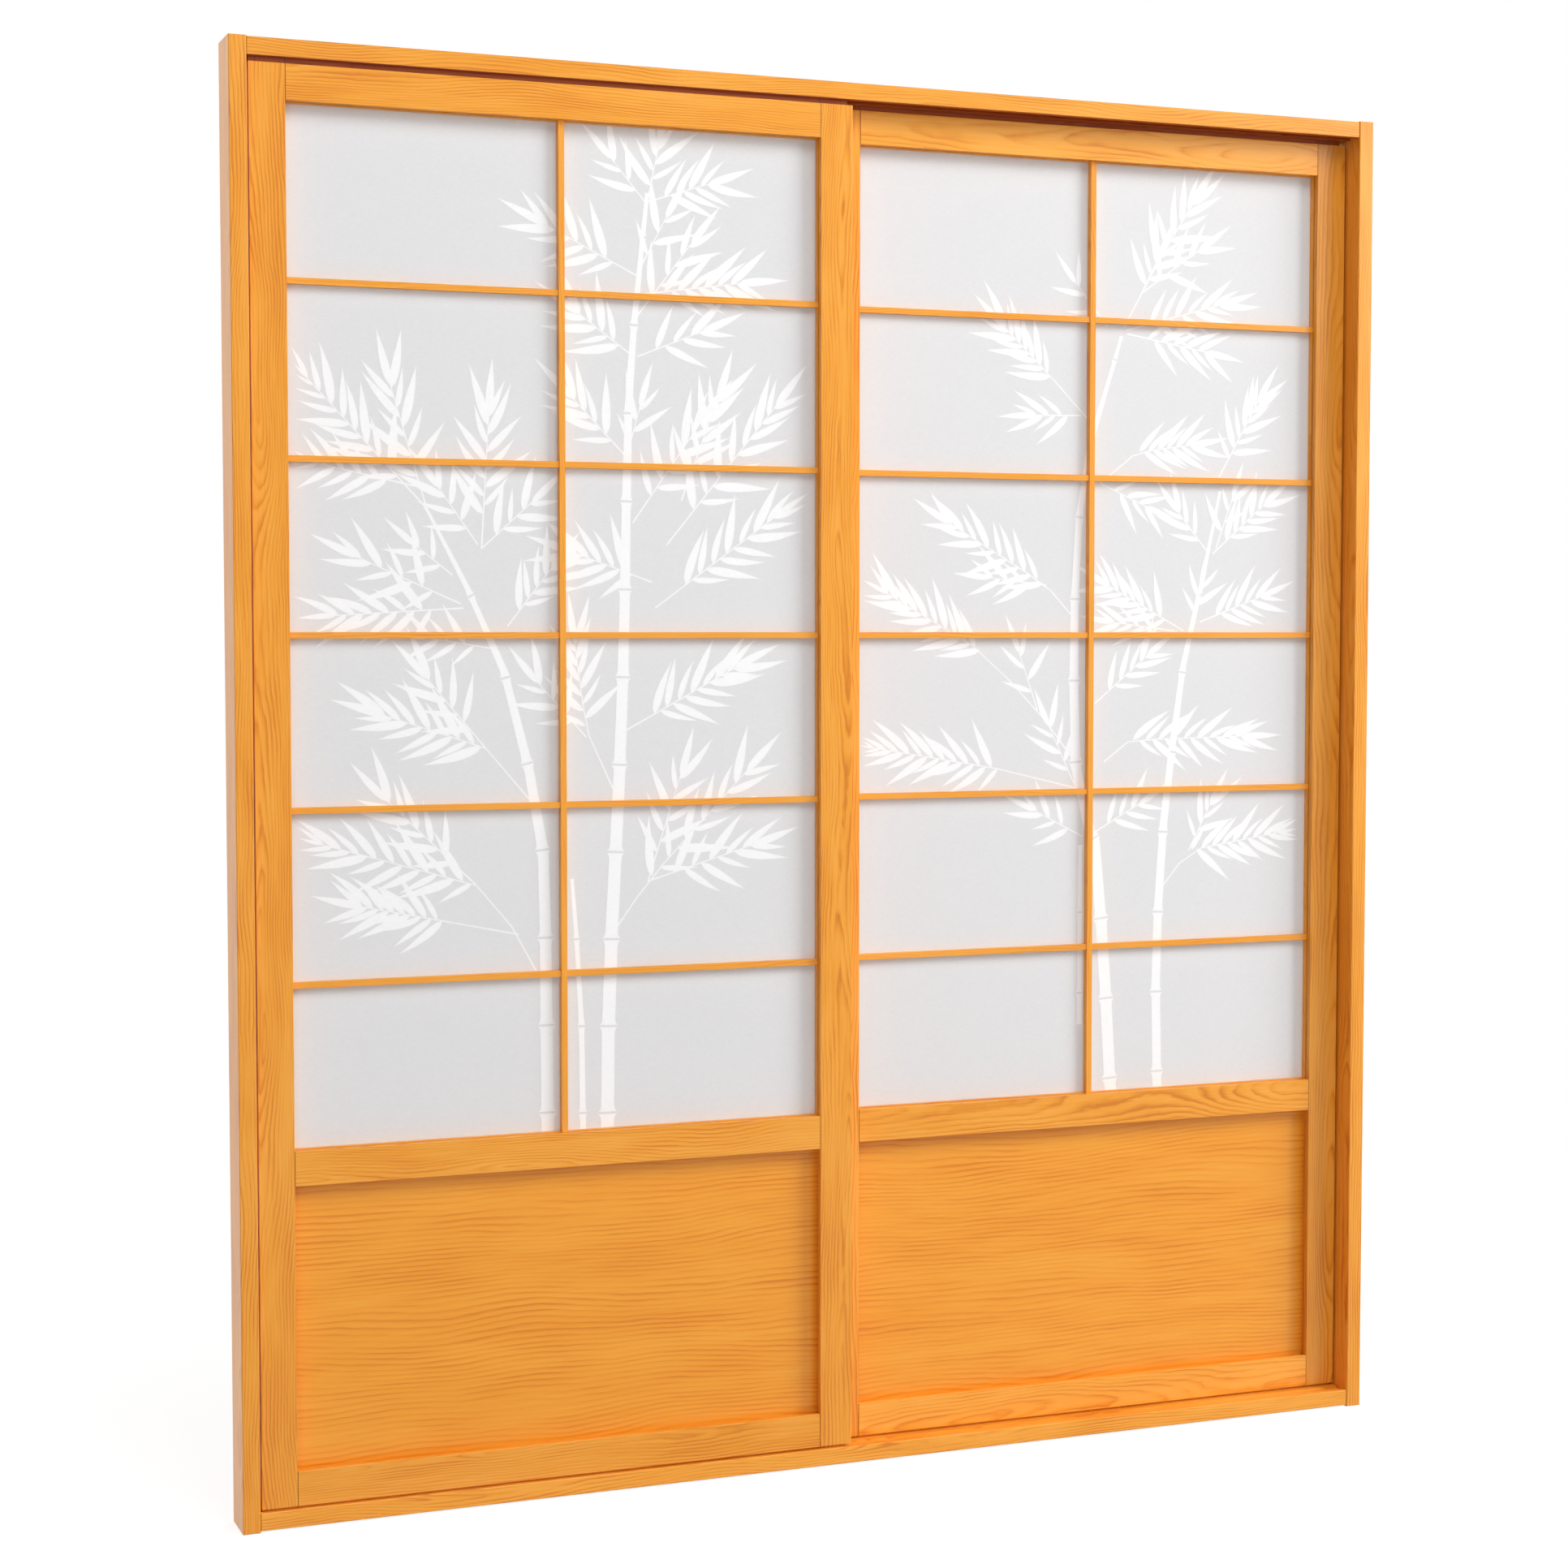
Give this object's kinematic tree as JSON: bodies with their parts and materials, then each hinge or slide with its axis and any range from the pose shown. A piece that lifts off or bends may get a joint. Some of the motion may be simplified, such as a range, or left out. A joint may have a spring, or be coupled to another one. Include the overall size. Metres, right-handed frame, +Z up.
{
  "type": "pair of sliding shoji doors",
  "caption": "Wooden frame with grooved header and sill in which two shoji doors with lattice, bamboo-printed paper and kick panel slide past each other",
  "frame": {"origin": "centre of the frame's footprint, on the plane of the jambs' feet", "axes": "+X runs along the frame to the right as seen from the front, +Y points from the front track to the rear track, +Z is up; the front door is on the left and the rear door on the right"},
  "size_m": [1.829, 0.072, 2.078],
  "materials": {
    "frame_pine": "clear satin lacquer on pine",
    "door_pine": "clear satin lacquer on pine",
    "lattice_pine": "clear satin lacquer on pine",
    "bead_pine": "clear satin lacquer on pine",
    "panel_pine": "clear satin lacquer on pine",
    "dowel_wood": "raw beech",
    "shoji_paper": "translucent grey-white fibre sheet",
    "print_white": "flat white print"
  },
  "bodies": {
    "frame": {"corner_dowels": "dowel_wood", "header": "frame_pine", "left_jamb": "frame_pine", "right_jamb": "frame_pine", "sill": "frame_pine"},
    "front_door": {"front_bamboo_print": "print_white", "front_bottom_border": "lattice_pine", "front_bottom_kick_bead": "bead_pine", "front_bottom_paper_bead": "bead_pine", "front_bottom_rail": "door_pine", "front_cross_bar_1": "lattice_pine", "front_cross_bar_2": "lattice_pine", "front_cross_bar_3": "lattice_pine", "front_cross_bar_4": "lattice_pine", "front_cross_bar_5": "lattice_pine", "front_kick_panel": "panel_pine", "front_left_border": "lattice_pine", "front_left_kick_bead": "bead_pine", "front_left_paper_bead": "bead_pine", "front_left_stile": "door_pine", "front_mid_rail": "door_pine", "front_paper": "shoji_paper", "front_right_border": "lattice_pine", "front_right_kick_bead": "bead_pine", "front_right_paper_bead": "bead_pine", "front_right_stile": "door_pine", "front_top_border": "lattice_pine", "front_top_kick_bead": "bead_pine", "front_top_paper_bead": "bead_pine", "front_top_rail": "door_pine", "front_upright_bar": "lattice_pine"},
    "rear_door": {"rear_bamboo_print": "print_white", "rear_bottom_border": "lattice_pine", "rear_bottom_kick_bead": "bead_pine", "rear_bottom_paper_bead": "bead_pine", "rear_bottom_rail": "door_pine", "rear_cross_bar_1": "lattice_pine", "rear_cross_bar_2": "lattice_pine", "rear_cross_bar_3": "lattice_pine", "rear_cross_bar_4": "lattice_pine", "rear_cross_bar_5": "lattice_pine", "rear_kick_panel": "panel_pine", "rear_left_border": "lattice_pine", "rear_left_kick_bead": "bead_pine", "rear_left_paper_bead": "bead_pine", "rear_left_stile": "door_pine", "rear_mid_rail": "door_pine", "rear_paper": "shoji_paper", "rear_right_border": "lattice_pine", "rear_right_kick_bead": "bead_pine", "rear_right_paper_bead": "bead_pine", "rear_right_stile": "door_pine", "rear_top_border": "lattice_pine", "rear_top_kick_bead": "bead_pine", "rear_top_paper_bead": "bead_pine", "rear_top_rail": "door_pine", "rear_upright_bar": "lattice_pine"}
  },
  "joints": [
    {"name": "front_door_slide", "type": "slide", "parent": "frame", "child": "front_door", "axis": [1, 0, 0], "range_m": [-0.0025, 0.8765]},
    {"name": "rear_door_slide", "type": "slide", "parent": "frame", "child": "rear_door", "axis": [-1, 0, 0], "range_m": [-0.0025, 0.8765]}
  ]
}
